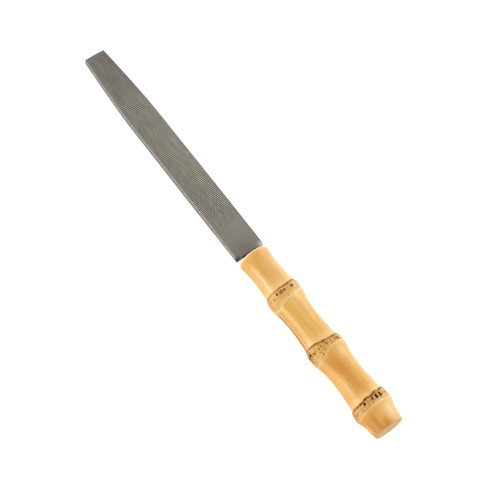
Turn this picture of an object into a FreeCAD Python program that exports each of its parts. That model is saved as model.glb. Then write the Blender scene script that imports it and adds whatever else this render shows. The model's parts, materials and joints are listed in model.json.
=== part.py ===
import FreeCAD, Part
import math
import os

import Sketcher

# A flat metalworking file with a handle of solid bamboo root.
#
# Every piece is drawn along the tool's own axis: x = 0 is the heel, where the
# blade's square shoulders are, the blade runs towards +x and the tang and the
# handle run towards -x, and the working faces are square to z.  The finished
# tool is then laid down as it lies on a bench, on the lower edge of its tip and
# the underside of the handle's front rim, with the middle of its
# footprint at the origin.

doc = FreeCAD.newDocument("flat_file")

# ---------------------------------------------------------------- dimensions

sheet = doc.addObject("Spreadsheet::Sheet", "Sizes")
sheet.Label = "Sizes"
values = {}


def sizes(title, rows):
    row = sizes.row
    sheet.set("A%d" % row, title)
    for alias, value, note in rows:
        row += 1
        sheet.set("A%d" % row, alias)
        sheet.set("B%d" % row, str(value))
        sheet.set("C%d" % row, note)
        sheet.setAlias("B%d" % row, alias)
        values[alias] = float(value)
    sizes.row = row + 2


sizes.row = 1

sizes("Blade, mm", [
    ("blade_length", "125", "heel to tip"),
    ("blade_thickness", "3", "between the two working faces"),
    ("heel_width", "14", "across the square shoulders"),
    ("belly_width", "14.24", "widest, where the side edges run parallel"),
    ("belly_from", "36", "where the edges become parallel"),
    ("taper_from", "84", "where the edges start to draw in"),
    ("bend_to", "94", "end of the quick bend into the taper"),
    ("bend_width", "13.72", "width there"),
    ("bend_radius", "240", "of the quick bend"),
    ("taper_radius", "1050", "of the long gentle curve to the tip"),
    ("tip_width", "10.3", "across the tip"),
    ("tip_crown", "0.15", "how far the middle of the tip stands ahead of its corners"),
    ("edge_chamfer", "0.22", "broken corner along the long edges"),
])
sizes("Tang, mm", [
    ("tang_length", "46", "behind the heel"),
    ("tang_root_width", "6.4", "at the heel"),
    ("tang_root_thickness", "2.9", "at the heel"),
    ("tang_end_width", "2.6", "at the point"),
    ("tang_end_thickness", "1.5", "at the point"),
])
sizes("Bore and resin, mm", [
    ("bore_diameter", "7.2", "drilled for the tang"),
    ("bore_depth", "46", "from the handle's front face"),
    ("bead_thickness", "0.8", "resin that stands out round the tang"),
    ("bead_diameter", "8.6", "of that resin, on the front face"),
])

# The handle's outline: distance behind the heel, then radius, at each point
# where the curve changes, and the radius of the arc that leads to it (0 for a
# straight line).  Each swelling starts with a sharp little ledge, the scar of
# the sheath that grew there, and falls away into the next hollow length.
profile = [
    ("front", 2.4, 6.72, 0, "outer edge of the flat front face"),
    ("rim", 3.4, 7.2, 1.29, "crest of the rounded front rim"),
    ("rim_fall", 4.6, 7.04, 4.6, "behind the rim"),
    ("first_neck", 9.5, 6.53, -22.0, "start of the first hollow"),
    ("first_flare", 22.2, 7.26, -80.0, "end of the first hollow"),
    ("first_ledge", 22.6, 7.74, 0, "scar ledge"),
    ("first_crest", 25.0, 7.97, 11.7, "thickest of the first swelling"),
    ("first_band", 28.6, 7.76, 32.0, "end of the root-scar band"),
    ("first_fall", 34.0, 6.77, -26.0, "foot of the shoulder"),
    ("second_flare", 50.9, 7.3, -93.0, "end of the second hollow"),
    ("second_ledge", 51.3, 7.85, 0, "scar ledge"),
    ("second_crest", 54.8, 8.2, 17.7, "thickest of the second swelling"),
    ("second_band", 57.6, 7.99, 19.7, "end of the root-scar band"),
    ("second_fall", 63.0, 6.93, -27.2, "foot of the shoulder"),
    ("third_flare", 80.6, 7.64, -86.6, "end of the third hollow"),
    ("third_ledge", 81.1, 8.2, 0, "scar ledge"),
    ("third_crest", 85.2, 8.82, 13.9, "thickest of the third swelling"),
    ("third_band", 86.5, 8.62, 5.3, "end of the root-scar band"),
    ("third_fall", 91.0, 7.2, -13.6, "foot of the shoulder"),
    ("butt_side", 95.3, 6.78, -38.4, "start of the rounded butt edge"),
    ("butt", 96.0, 6.4, 0.92, "outer edge of the flat butt face"),
]
rows = []
for name, along, radius, arc, note in profile:
    rows.append((name + "_along", "%g" % along, note + ": distance behind the heel"))
    rows.append((name + "_radius", "%g" % radius, note + ": radius of the handle"))
    if arc:
        rows.append((name + "_arc", "%g" % abs(arc), note + ": arc that leads there"))
sizes("Handle outline, mm", rows)

# Bud grooves: each hollow length has a shallow groove on one side, on
# alternate sides of the stem.
grooves = [
    ("groove_one", 14.6, -1, 6.52, 6.2),
    ("groove_two", 42.2, 1, 6.62, 8.6),
    ("groove_three", 71.5, -1, 6.81, 8.8),
    ("groove_four", 93.2, 1, 6.93, 4.6),
]
sizes("Bud grooves, mm", [
    ("groove_depth", "0.4", "below the hollow's surface"),
    ("groove_round", "1.25", "radial half size of the scoop"),
    ("groove_half_width", "1.7", "half size of the scoop round the stem"),
] + [(g[0] + "_half_length", "%g" % g[4], "half length") for g in grooves])

sizes("Lying on a bench", [
    ("rest_tilt", "2.5422", "degrees that the tip drops below level"),
])

doc.recompute()

# ------------------------------------------------------------------ helpers


def plane(body, role):
    for feature in body.Origin.OriginFeatures:
        if feature.Role == role:
            return feature
    raise RuntimeError("no plane " + role)


def new_body(label):
    body = doc.addObject("PartDesign::Body", label)
    body.Label = label
    return body


def new_sketch(body, name, role, offset=None):
    sketch = body.newObject("Sketcher::SketchObject", name)
    sketch.AttachmentSupport = [(plane(body, role), "")]
    sketch.MapMode = "FlatFace"
    if offset:
        sketch.setExpression("AttachmentOffset.Base.z", offset)
    return sketch


def bind(sketch, constraint, expression):
    index = sketch.addConstraint(constraint)
    sketch.setExpression("Constraints[%d]" % index, expression)
    return index


def vec(x, y):
    return FreeCAD.Vector(x, y, 0)


def arc_between(a, b, radius, centre_side):
    """Circle arc of the radius from a to b; centre_side is +1 to the left of a to b, -1 to the right."""
    chord = b - a
    half = chord.Length / 2
    mid = (a + b) * 0.5
    left = vec(-chord.y, chord.x).normalize()
    centre = mid + left * (centre_side * math.sqrt(radius * radius - half * half))
    circle = Part.Circle(centre, FreeCAD.Vector(0, 0, 1), radius)
    start = math.atan2(a.y - centre.y, a.x - centre.x)
    end = math.atan2(b.y - centre.y, b.x - centre.x)
    if centre_side > 0:
        return Part.ArcOfCircle(circle, start, end), 1, 2
    return Part.ArcOfCircle(circle, end, start), 2, 1


def rectangle(sketch, width, height):
    """A rectangle centred on the sketch's origin, its sides bound to two cells."""
    w, q = values[width] / 2, values[height] / 2
    corners = [vec(-w, -q), vec(w, -q), vec(w, q), vec(-w, q)]
    lines = [
        sketch.addGeometry(Part.LineSegment(corners[i], corners[(i + 1) % 4]), False)
        for i in range(4)
    ]
    for i in range(4):
        sketch.addConstraint(
            Sketcher.Constraint("Coincident", lines[i], 2, lines[(i + 1) % 4], 1)
        )
    for i in (0, 2):
        sketch.addConstraint(Sketcher.Constraint("Horizontal", lines[i]))
    for i in (1, 3):
        sketch.addConstraint(Sketcher.Constraint("Vertical", lines[i]))
    sketch.addConstraint(
        Sketcher.Constraint("Symmetric", lines[0], 1, lines[2], 1, -1, 1)
    )
    bind(
        sketch,
        Sketcher.Constraint("DistanceX", lines[0], 1, lines[0], 2, 2 * w),
        "Sizes." + width,
    )
    bind(
        sketch,
        Sketcher.Constraint("DistanceY", lines[1], 1, lines[1], 2, 2 * q),
        "Sizes." + height,
    )


def circle(sketch, diameter):
    index = sketch.addGeometry(
        Part.Circle(vec(0, 0), FreeCAD.Vector(0, 0, 1), values[diameter] / 2), False
    )
    sketch.addConstraint(Sketcher.Constraint("Coincident", index, 3, -1, 1))
    bind(
        sketch,
        Sketcher.Constraint("Diameter", index, values[diameter]),
        "Sizes." + diameter,
    )


def tang_sections(body, prefix):
    root = new_sketch(body, prefix + "_root", "YZ_Plane")
    rectangle(root, "tang_root_width", "tang_root_thickness")
    point = new_sketch(body, prefix + "_point", "YZ_Plane", "-Sizes.tang_length")
    rectangle(point, "tang_end_width", "tang_end_thickness")
    return root, point


# -------------------------------------------------------------- file_blade
# One forging: a flat blade whose side edges run parallel for two thirds of its
# length and then draw in to the tip, square shoulders at the heel, and a tang
# that tapers both ways.

file_blade = new_body("file_blade")
outline = new_sketch(file_blade, "blade_outline", "XY_Plane")

stations = [
    (None, "heel_width"),
    ("belly_from", "belly_width"),
    ("taper_from", "belly_width"),
    ("bend_to", "bend_width"),
    ("blade_length", "tip_width"),
]
upper = [
    vec(values[a] if a else 0.0, values[w] / 2) for a, w in stations
]
upper[-1].x -= values["tip_crown"]
lower = [vec(p.x, -p.y) for p in upper]
leads = {3: "bend_radius", 4: "taper_radius"}  # arcs that lead to a station

sides = []
for points, side in ((upper, -1), (lower, 1)):
    pieces = []
    for i in range(1, len(points)):
        if i in leads:
            arc, start, end = arc_between(
                points[i - 1], points[i], values[leads[i]], side
            )
            index = outline.addGeometry(arc, False)
            bind(
                outline,
                Sketcher.Constraint("Radius", index, values[leads[i]]),
                "Sizes." + leads[i],
            )
        else:
            index = outline.addGeometry(
                Part.LineSegment(points[i - 1], points[i]), False
            )
            start, end = 1, 2
        pieces.append((index, start, end))
    for a, b in zip(pieces, pieces[1:]):
        outline.addConstraint(
            Sketcher.Constraint("Coincident", a[0], a[2], b[0], b[1])
        )
    sides.append(pieces)
heel = outline.addGeometry(Part.LineSegment(lower[0], upper[0]), False)
crown_radius = (upper[-1].y ** 2 + values["tip_crown"] ** 2) / (2 * values["tip_crown"])
crown, crown_start, crown_end = arc_between(lower[-1], upper[-1], crown_radius, 1)
tip = outline.addGeometry(crown, False)
top, bottom = sides
outline.addConstraint(Sketcher.Constraint("Coincident", heel, 2, top[0][0], top[0][1]))
outline.addConstraint(
    Sketcher.Constraint("Coincident", heel, 1, bottom[0][0], bottom[0][1])
)
outline.addConstraint(
    Sketcher.Constraint("Coincident", tip, crown_end, top[-1][0], top[-1][2])
)
outline.addConstraint(
    Sketcher.Constraint("Coincident", tip, crown_start, bottom[-1][0], bottom[-1][2])
)
bind(
    outline,
    Sketcher.Constraint("Radius", tip, crown_radius),
    "(Sizes.tip_width ^ 2 / 4 + Sizes.tip_crown ^ 2) / (2 * Sizes.tip_crown)",
)
# The far edge is held by the cells, and the near edge mirrors it.
outline.addConstraint(Sketcher.Constraint("PointOnObject", heel, 2, -2))
bind(
    outline,
    Sketcher.Constraint("DistanceY", -1, 1, heel, 2, upper[0].y),
    "Sizes.heel_width / 2",
)
outline.addConstraint(Sketcher.Constraint("Symmetric", heel, 1, heel, 2, -1))
for i in range(1, len(stations)):
    along, width = stations[i]
    t, b = top[i - 1], bottom[i - 1]
    bind(
        outline,
        Sketcher.Constraint("DistanceX", -1, 1, t[0], t[2], upper[i].x),
        "Sizes." + along + (" - Sizes.tip_crown" if i == len(stations) - 1 else ""),
    )
    bind(
        outline,
        Sketcher.Constraint("DistanceY", -1, 1, t[0], t[2], upper[i].y),
        "Sizes.%s / 2" % width,
    )
    outline.addConstraint(
        Sketcher.Constraint("Symmetric", b[0], b[2], t[0], t[2], -1)
    )

blade_pad = file_blade.newObject("PartDesign::Pad", "blade_pad")
blade_pad.Profile = outline
blade_pad.Midplane = True
blade_pad.setExpression("Length", "Sizes.blade_thickness")
doc.recompute()

# The long corners are broken along both edges of both faces.
half = values["blade_thickness"] / 2
long_edges = []
for i, edge in enumerate(blade_pad.Shape.Edges):
    box = edge.BoundBox
    if abs(abs(edge.CenterOfMass.z) - half) < 1e-6 and box.XLength > 5:
        long_edges.append("Edge%d" % (i + 1))
blade_edges = file_blade.newObject("PartDesign::Chamfer", "broken_edges")
blade_edges.Base = (blade_pad, long_edges)
blade_edges.setExpression("Size", "Sizes.edge_chamfer")
doc.recompute()

tang_root, tang_point = tang_sections(file_blade, "tang")
tang = file_blade.newObject("PartDesign::AdditiveLoft", "tang")
tang.Profile = tang_root
tang.Sections = [tang_point]
tang.Ruled = True
file_blade.Tip = tang
doc.recompute()

# ----------------------------------------------------------- bamboo_handle
# A solid stem turned to no lathe: three swollen joints with hollow lengths
# between them.  Its own x runs from the front face to the butt, so that every
# distance in the outline is positive.

bamboo_handle = new_body("bamboo_handle")
stem = new_sketch(bamboo_handle, "stem_outline", "XZ_Plane")
points = [vec(along, radius) for name, along, radius, arc, note in profile]
front_on_axis, butt_on_axis = vec(points[0].x, 0), vec(points[-1].x, 0)
front_face = stem.addGeometry(Part.LineSegment(front_on_axis, points[0]), False)
last = (front_face, 2)
stem.addConstraint(Sketcher.Constraint("PointOnObject", front_face, 1, -1))
bind(
    stem,
    Sketcher.Constraint("DistanceX", -1, 1, front_face, 1, points[0].x),
    "Sizes.front_along",
)
bind(
    stem,
    Sketcher.Constraint("DistanceX", -1, 1, front_face, 2, points[0].x),
    "Sizes.front_along",
)
bind(
    stem,
    Sketcher.Constraint("DistanceY", -1, 1, front_face, 2, points[0].y),
    "Sizes.front_radius",
)
for i in range(1, len(profile)):
    name, along, radius, arc, note = profile[i]
    if arc:
        piece, start, end = arc_between(
            points[i - 1], points[i], abs(arc), -1 if arc > 0 else 1
        )
        index = stem.addGeometry(piece, False)
    else:
        index = stem.addGeometry(Part.LineSegment(points[i - 1], points[i]), False)
        start, end = 1, 2
    stem.addConstraint(
        Sketcher.Constraint("Coincident", last[0], last[1], index, start)
    )
    bind(
        stem,
        Sketcher.Constraint("DistanceX", -1, 1, index, end, points[i].x),
        "Sizes.%s_along" % name,
    )
    bind(
        stem,
        Sketcher.Constraint("DistanceY", -1, 1, index, end, points[i].y),
        "Sizes.%s_radius" % name,
    )
    if arc:
        bind(
            stem,
            Sketcher.Constraint("Radius", index, abs(arc)),
            "Sizes.%s_arc" % name,
        )
    last = (index, end)
butt_face = stem.addGeometry(Part.LineSegment(points[-1], butt_on_axis), False)
stem.addConstraint(Sketcher.Constraint("Coincident", last[0], last[1], butt_face, 1))
stem.addConstraint(Sketcher.Constraint("PointOnObject", butt_face, 2, -1))
stem.addConstraint(Sketcher.Constraint("Vertical", butt_face))
axis_line = stem.addGeometry(Part.LineSegment(butt_on_axis, front_on_axis), False)
stem.addConstraint(Sketcher.Constraint("Coincident", butt_face, 2, axis_line, 1))
stem.addConstraint(Sketcher.Constraint("Coincident", axis_line, 2, front_face, 1))

stem_solid = bamboo_handle.newObject("PartDesign::Revolution", "stem")
stem_solid.Profile = stem
stem_solid.ReferenceAxis = (stem, ["H_Axis"])
stem_solid.Angle = 360
doc.recompute()
stem_volume = stem_solid.Shape.Volume

# The bore for the tang, drilled from the front face.
bore_outline = new_sketch(
    bamboo_handle, "bore_outline", "YZ_Plane", "Sizes.front_along"
)
circle(bore_outline, "bore_diameter")
bore = bamboo_handle.newObject("PartDesign::Pocket", "tang_bore")
bore.Profile = bore_outline
bore.setExpression("Length", "Sizes.bore_depth")
bore.Reversed = True
doc.recompute()
bored = stem_volume - bore.Shape.Volume
expected = math.pi * (values["bore_diameter"] / 2) ** 2 * values["bore_depth"]
if abs(bored - expected) > 1.0:
    raise RuntimeError("the bore removed %.1f mm3, not %.1f" % (bored, expected))

# The bud grooves.
tip_feature = bore
for name, along, side, surface, length in grooves:
    groove = bamboo_handle.newObject("PartDesign::SubtractiveEllipsoid", name)
    groove.setExpression("Radius2", "Sizes.%s_half_length" % name)
    groove.setExpression("Radius3", "Sizes.groove_round")
    groove.setExpression("Radius1", "Sizes.groove_half_width")
    groove.Angle1 = -90
    groove.Angle2 = 90
    groove.Angle3 = 360
    out = surface - values["groove_depth"] + values["groove_round"]
    groove.Placement = FreeCAD.Placement(
        FreeCAD.Vector(along, -side * out, 0.0), FreeCAD.Rotation()
    )
    doc.recompute()
    taken = tip_feature.Shape.Volume - groove.Shape.Volume
    if not 1.0 < taken < 40.0:
        raise RuntimeError("%s removed %.2f mm3" % (name, taken))
    tip_feature = groove
bamboo_handle.Tip = tip_feature
doc.recompute()

# ----------------------------------------------------------- tang_adhesive
# Resin: it fills the bore round and behind the tang, and stands out of the
# handle's front face as a thin bead round the tang.

tang_adhesive = new_body("tang_adhesive")
plug_outline = new_sketch(
    tang_adhesive, "plug_outline", "YZ_Plane", "-Sizes.front_along"
)
circle(plug_outline, "bore_diameter")
plug = tang_adhesive.newObject("PartDesign::Pad", "plug")
plug.Profile = plug_outline
plug.setExpression("Length", "Sizes.bore_depth")
plug.Reversed = True
doc.recompute()
bead_outline = new_sketch(
    tang_adhesive,
    "bead_outline",
    "YZ_Plane",
    "Sizes.bead_thickness - Sizes.front_along",
)
circle(bead_outline, "bead_diameter")
bead = tang_adhesive.newObject("PartDesign::Pad", "bead")
bead.Profile = bead_outline
bead.setExpression("Length", "Sizes.bead_thickness")
bead.Reversed = True
doc.recompute()
before = bead.Shape.Volume
seat_root, seat_point = tang_sections(tang_adhesive, "seat")
seat = tang_adhesive.newObject("PartDesign::SubtractiveLoft", "tang_seat")
seat.Profile = seat_root
seat.Sections = [seat_point]
seat.Ruled = True
tang_adhesive.Tip = seat
doc.recompute()
if before - seat.Shape.Volume < 100.0:
    raise RuntimeError("the tang's seat wasn't cut")

# ------------------------------------------------------ laid on the bench

pieces = [file_blade, bamboo_handle, tang_adhesive]
tilt = FreeCAD.Rotation(FreeCAD.Vector(0, 1, 0), values["rest_tilt"])
turn = FreeCAD.Rotation(FreeCAD.Vector(0, 0, 1), 180)
turned = {bamboo_handle.Name: turn}


def lay(at):
    for piece in pieces:
        own = turned.get(piece.Name, FreeCAD.Rotation())
        piece.Placement = FreeCAD.Placement(at, tilt.multiply(own))
    doc.recompute()


def footprint():
    box = FreeCAD.BoundBox()
    for piece in pieces:
        box.add(piece.Shape.optimalBoundingBox(False, False))
    return box


lay(FreeCAD.Vector(0, 0, 0))
box = footprint()
lay(FreeCAD.Vector(-box.Center.x, -box.Center.y, -box.ZMin))
box = footprint()

# ------------------------------------------------------------------ checks

for thing in doc.Objects:
    if "Invalid" in thing.State or "Error" in thing.State:
        raise RuntimeError("%s failed: %s" % (thing.Label, thing.State))
for sketch in (o for o in doc.Objects if o.TypeId == "Sketcher::SketchObject"):
    if sketch.solve() != 0:
        raise RuntimeError("sketch %s does not solve" % sketch.Label)
for piece in pieces:
    shape = piece.Shape
    if shape.isNull() or not shape.isValid():
        raise RuntimeError(piece.Label + " has no valid shape")
    if len(shape.Solids) != 1:
        raise RuntimeError("%s is %d solids" % (piece.Label, len(shape.Solids)))
for i, a in enumerate(pieces):
    for b in pieces[i + 1:]:
        shared = a.Shape.common(b.Shape).Volume
        if shared > 0.005:
            raise RuntimeError("%s and %s share %.3f mm3" % (a.Label, b.Label, shared))

# ----------------------------------------------------------------- writing

os.makedirs("parts", exist_ok=True)
for piece in pieces:
    piece.Shape.exportStep("parts/%s.step" % piece.Label)
    b = piece.Shape.optimalBoundingBox(False, False)
    print(
        "%-14s %8.1f mm3  x %.2f..%.2f  y %.2f..%.2f  z %.3f..%.3f"
        % (piece.Label, piece.Shape.Volume, b.XMin, b.XMax, b.YMin, b.YMax, b.ZMin, b.ZMax)
    )
heel_at = file_blade.Placement.Base
print("heel centre %.4f %.4f %.4f" % (heel_at.x, heel_at.y, heel_at.z))
print("overall %.2f x %.2f x %.2f" % (box.XLength, box.YLength, box.ZLength))
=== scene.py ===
import json
import math

import bpy
import numpy as np
from mathutils import Matrix, Vector
from mathutils.bvhtree import BVHTree


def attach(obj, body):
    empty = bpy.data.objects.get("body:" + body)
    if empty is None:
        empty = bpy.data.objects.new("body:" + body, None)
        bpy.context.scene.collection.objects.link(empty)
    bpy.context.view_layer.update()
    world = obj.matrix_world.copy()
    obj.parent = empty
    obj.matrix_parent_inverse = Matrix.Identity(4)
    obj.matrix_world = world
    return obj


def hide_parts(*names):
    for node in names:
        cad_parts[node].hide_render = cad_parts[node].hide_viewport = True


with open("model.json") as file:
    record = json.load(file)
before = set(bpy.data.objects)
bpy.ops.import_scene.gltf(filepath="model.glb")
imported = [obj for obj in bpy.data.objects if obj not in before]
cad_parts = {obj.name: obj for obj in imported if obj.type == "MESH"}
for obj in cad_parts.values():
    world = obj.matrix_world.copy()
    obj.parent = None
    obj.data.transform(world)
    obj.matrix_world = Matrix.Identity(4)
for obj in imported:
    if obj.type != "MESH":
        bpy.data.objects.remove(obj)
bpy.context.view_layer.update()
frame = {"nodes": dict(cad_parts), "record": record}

# ---------------------------------------------------------------- the tool's own frame
# Millimetres: x = 0 at the heel shoulders and +X to the tip, blade mid-plane z = 0.
# The tool lies tilted about Y, resting on the tip and on the front rim of the handle.
THICK = 3.0
mount = next(m for m in frame["record"]["mounts"] if m["name"] == "upper_working_face")
axis, pos = Vector(mount["axis"]), Vector(mount["pos_m"])
turn = Matrix.Rotation(math.atan2(axis.x, axis.z), 4, "Y")
tool = Matrix.Translation(pos - turn @ Vector((0.0625, 0.0, THICK / 2000))) @ turn
TURN = np.array(turn.to_3x3())
HEEL = np.array(tool.translation)


def to_world(p):
    return np.asarray(p, float) * 0.001 @ TURN.T + HEEL


def from_world(p):
    return (np.asarray(p, float) - HEEL) @ TURN * 1000


def tree_of(node):
    mesh = frame["nodes"][node].data
    mesh.calc_loop_triangles()
    verts = from_world([v.co for v in mesh.vertices])
    tris = [tuple(t.vertices) for t in mesh.loop_triangles]
    return BVHTree.FromPolygons([Vector(v) for v in verts], tris)


def smooth(values, sigma):
    n = max(1, int(3 * sigma))
    k = np.exp(-0.5 * (np.arange(-n, n + 1) / sigma) ** 2)
    k /= k.sum()
    return np.convolve(np.pad(values, n, mode="edge"), k, "valid")


def step(a, b, x):
    t = np.clip((x - a) / (b - a), 0, 1)
    return t * t * (3 - 2 * t)


def around(points, phi):
    """A value that changes round the stem, from (degrees, value) points, in radians phi."""
    pts = sorted(points)
    a = np.array([q[0] for q in pts], float)
    v = np.array([q[1] for q in pts], float)
    a = np.concatenate([a - 360, a, a + 360])
    v = np.concatenate([v, v, v])
    d = np.degrees(phi)
    grid = np.arange(-360, 361, 2.0)
    table = smooth(np.interp(grid, a, v), 2.0)
    return np.interp((d + 180) % 360 - 180, grid, table)


def ripple(rng, coords, waves):
    """Smooth pseudo-random function of coords (arrays), a sum of random sines; waves lists (amplitude, scales)."""
    total = 0
    for amplitude, scales in waves:
        for _ in range(5):
            phase = rng.uniform(0, 2 * math.pi)
            arg = phase
            for c, s in zip(coords, scales):
                arg = arg + c * s * rng.uniform(-1, 1) * 2
            total = total + amplitude / 2.2 * np.sin(arg)
    return total


# ---------------------------------------------------------------- meshes
def make_mesh(name, verts_mm, faces, attributes, sharp_deg=38):
    me = bpy.data.meshes.new(name)
    me.from_pydata(to_world(verts_mm).tolist(), [], faces)
    me.validate(clean_customdata=False)
    me.update()
    att = me.attributes.new("tool", "FLOAT_VECTOR", "POINT")
    att.data.foreach_set("vector", np.asarray(verts_mm, np.float32).ravel())
    for key, vec in attributes.items():
        att = me.attributes.new(key, "FLOAT_VECTOR", "POINT")
        att.data.foreach_set("vector", np.asarray(vec, np.float32).ravel())
    me.polygons.foreach_set("use_smooth", [True] * len(me.polygons))
    me.set_sharp_from_angle(angle=math.radians(sharp_deg))
    ob = bpy.data.objects.new(name, me)
    bpy.context.scene.collection.objects.link(ob)
    return ob


def ring_faces(rows, cols, start=0):
    """Quads between successive closed loops of cols vertices."""
    i = np.arange(rows - 1)[:, None] * cols + start
    j = np.arange(cols)[None, :]
    k = (j + 1) % cols
    return np.stack([i + j, i + k, i + cols + k, i + cols + j], -1).reshape(-1, 4).tolist()


# ---------------------------------------------------------------- blade
blade_tree = tree_of("file_blade")
UP_CONTRAST, OVER_CONTRAST = 0.70, 0.88


def half_width(x):
    hit = blade_tree.ray_cast(Vector((x, 20, 0)), Vector((0, -1, 0)))[0]
    return hit.y if hit is not None else 0.0


grid_x = np.arange(0.05, 124.81, 0.4)
grid_w = smooth(np.array([half_width(float(x)) for x in grid_x]), 1.5)


def width_at(x):
    x = np.asarray(x, float)
    w = np.interp(x, grid_x, grid_w)
    tail = (grid_w[-1] - grid_w[-6]) / (grid_x[-1] - grid_x[-6])
    return w + np.maximum(x - grid_x[-1], 0) * tail


# The teeth stand where two sets of cuts cross.  The up-cut rungs go almost straight
# across, their pitch growing from heel to tip; the over-cut runs at a low angle to the
# blade's length.  Both are counted in cuts, so a whole number is the bottom of a cut.
PITCH_HEEL, PITCH_GROWTH, LEAN = 0.705, 0.00252, 0.052


def up_cut(x):
    return np.log((PITCH_HEEL + PITCH_GROWTH * x) / (PITCH_HEEL + PITCH_GROWTH * 13.0)) / PITCH_GROWTH


def up_cut_at(n):
    return ((PITCH_HEEL + PITCH_GROWTH * 13.0) * np.exp(n * PITCH_GROWTH) - PITCH_HEEL) / PITCH_GROWTH


def over_cut(x, y):
    return 0.336 * x + 0.0004 * x * x - y * (1.225 - 0.0011 * x)


def build_blade():
    rng = np.random.RandomState(11)
    phase, at_phase = up_cut, up_cut_at

    heel_rows = [0.0, 0.14, 0.3, 0.6, 1.1, 1.8, 2.8, 4.0, 5.2, 6.4, 7.6, 8.8, 9.8, 10.7, 11.4, 12.0, 12.5]
    last = int(phase(124.3))
    cuts = []
    for n in range(last + 1):
        for f in (0.0, 0.22, 0.5, 0.78):
            x = float(at_phase(n + f))
            if 12.9 < x < 124.35:
                cuts.append(x)
    tip_rows = [124.62, 124.9, 124.985]
    X = np.array(heel_rows + cuts + tip_rows)
    rows = len(X)
    crown = 0.15
    # columns: a loop round the section
    n_face = 72
    edge = 0.22
    ang = np.radians([0, 22.5, 45, 67.5, 90])
    t = np.linspace(-1, 1, n_face + 1)
    loop_kind = []  # (which, parameter)
    top = [("top", v) for v in t]  # from -Y to +Y
    left = [("edge", (1, a)) for a in ang[1:]]
    left += [("side", (1, s)) for s in (0.33, -0.33)]
    left += [("under", (1, a)) for a in ang[::-1][:-1]]
    bottom = [("bot", v) for v in t[::-1]]
    right = [("under", (-1, a)) for a in ang[1:]]
    right += [("side", (-1, s)) for s in (-0.33, 0.33)]
    right += [("edge", (-1, a)) for a in ang[::-1][:-1]]
    loop_kind = top + left + bottom + right
    # the last edge point of each group meets the next group's first, so nothing is doubled
    cols = len(loop_kind)
    H = THICK / 2
    W = width_at(X)
    Y = np.zeros((rows, cols))
    Z = np.zeros((rows, cols))
    for c, (kind, v) in enumerate(loop_kind):
        if kind == "top":
            Y[:, c], Z[:, c] = v * (W - edge), H
        elif kind == "bot":
            Y[:, c], Z[:, c] = v * (W - edge), -H
        elif kind == "side":
            Y[:, c], Z[:, c] = v[0] * W, v[1] * (H - edge) * 1.6
        else:
            s, a = v
            Y[:, c] = s * (W - edge + edge * math.sin(a))
            Z[:, c] = (H - edge + edge * math.cos(a)) * (1 if kind == "edge" else -1)
    # rungs lean a little, and straighten out at heel and tip
    lean = -LEAN * step(4.0, 12.5, X) * (1 - step(118.5, 123.8, X))
    XX = X[:, None] + lean[:, None] * Y
    tip_in = step(121.0, 125.0, X)[:, None]
    XX = XX - tip_in * crown * (Y / np.maximum(W[:, None], 1)) ** 2
    # teeth
    is_top = np.array([k[0] == "top" for k in loop_kind])
    is_bot = np.array([k[0] == "bot" for k in loop_kind])
    fa = phase(np.clip(XX - lean[:, None] * Y, 0, 126)) + 0.78
    fa = fa - np.floor(fa)
    rung = np.where(fa < 0.78, fa / 0.78, 1 - (fa - 0.78) / 0.22)
    pb = over_cut(XX, np.where(is_bot[None, :], -Y, Y))
    over = 0.5 + 0.5 * np.cos(2 * math.pi * pb)
    variation = 1 + ripple(rng, (XX, Y), [(0.22, (0.12, 0.22)), (0.12, (0.5, 0.6))])
    depth = np.maximum(0.12 * rung, 0.11 * over) * np.clip(variation, 0.55, 1.4)
    # where the cut stops: an oblique line ahead of the heel, and narrow plain margins
    left_margin = step(0.15, 1.0, (W[:, None] - edge) - Y)
    right_margin = step(0.55, 1.5, (W[:, None] - edge) + Y)
    heel_line = np.where(is_bot[None, :], 16.05 + 0.41 * Y, 16.05 - 0.41 * Y)
    zone = step(-0.15, 0.45, XX - heel_line) * left_margin * right_margin * (1 - step(124.2, 124.6, XX))
    cut = depth * zone * (is_top | is_bot)[None, :]
    Z = Z - np.sign(Z) * cut
    # light chamfer round the tip end
    for r, (inset, back) in {rows - 2: (0.01, 0.0), rows - 1: (0.10, 0.0)}.items():
        Z[r] *= (H - inset) / H
        Y[r] *= (W[r] - inset) / W[r]
    # heel end
    for r, inset in {0: 0.03, 1: 0.01}.items():
        Z[r] *= (H - inset) / H
        Y[r] *= (W[r] - inset) / W[r]
    verts = np.stack([XX, Y, Z], -1).reshape(-1, 3)
    faces = ring_faces(rows, cols)
    # masks: the broken edges (painted highlight at +Y, painted shade at -Y), the toothed zone, the narrow sides
    rim = np.array([(k[1][0] if k[0] in ("edge", "under") else 0.0) for k in loop_kind], float)
    side = np.array([1.0 if k[0] == "side" else (0.5 if k[0] in ("edge", "under") and k[1][1] > 1.5 else 0.0) for k in loop_kind])
    inner = (W[:, None] - edge) * np.ones_like(Y)
    edge_highlight_and_shade = 0.62 * (1 - step(0.12, 0.75, inner - Y)) - 0.75 * (1 - step(0.0, 0.22, inner + Y))
    rim = np.where((is_top | is_bot)[None, :], edge_highlight_and_shade, rim[None, :])
    info = np.stack([rim, zone * (is_top | is_bot)[None, :], np.tile(side, (rows, 1))], -1).reshape(-1, 3)
    # tip end: strips between matching top and bottom points, one polygon at each side
    base = (rows - 1) * cols
    n = n_face + 1
    top0, bot0 = base, base + n + len(left)
    for j in range(n_face):
        faces.append([top0 + j + 1, top0 + j, bot0 + n_face - j, bot0 + n_face - j - 1])
    faces.append([top0 + n_face] + [bot0][::1] + [base + n + q for q in range(len(left) - 1, -1, -1)])
    faces.append([top0] + [base + cols - 1 - q for q in range(len(right))] + [bot0 + n_face])
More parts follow.
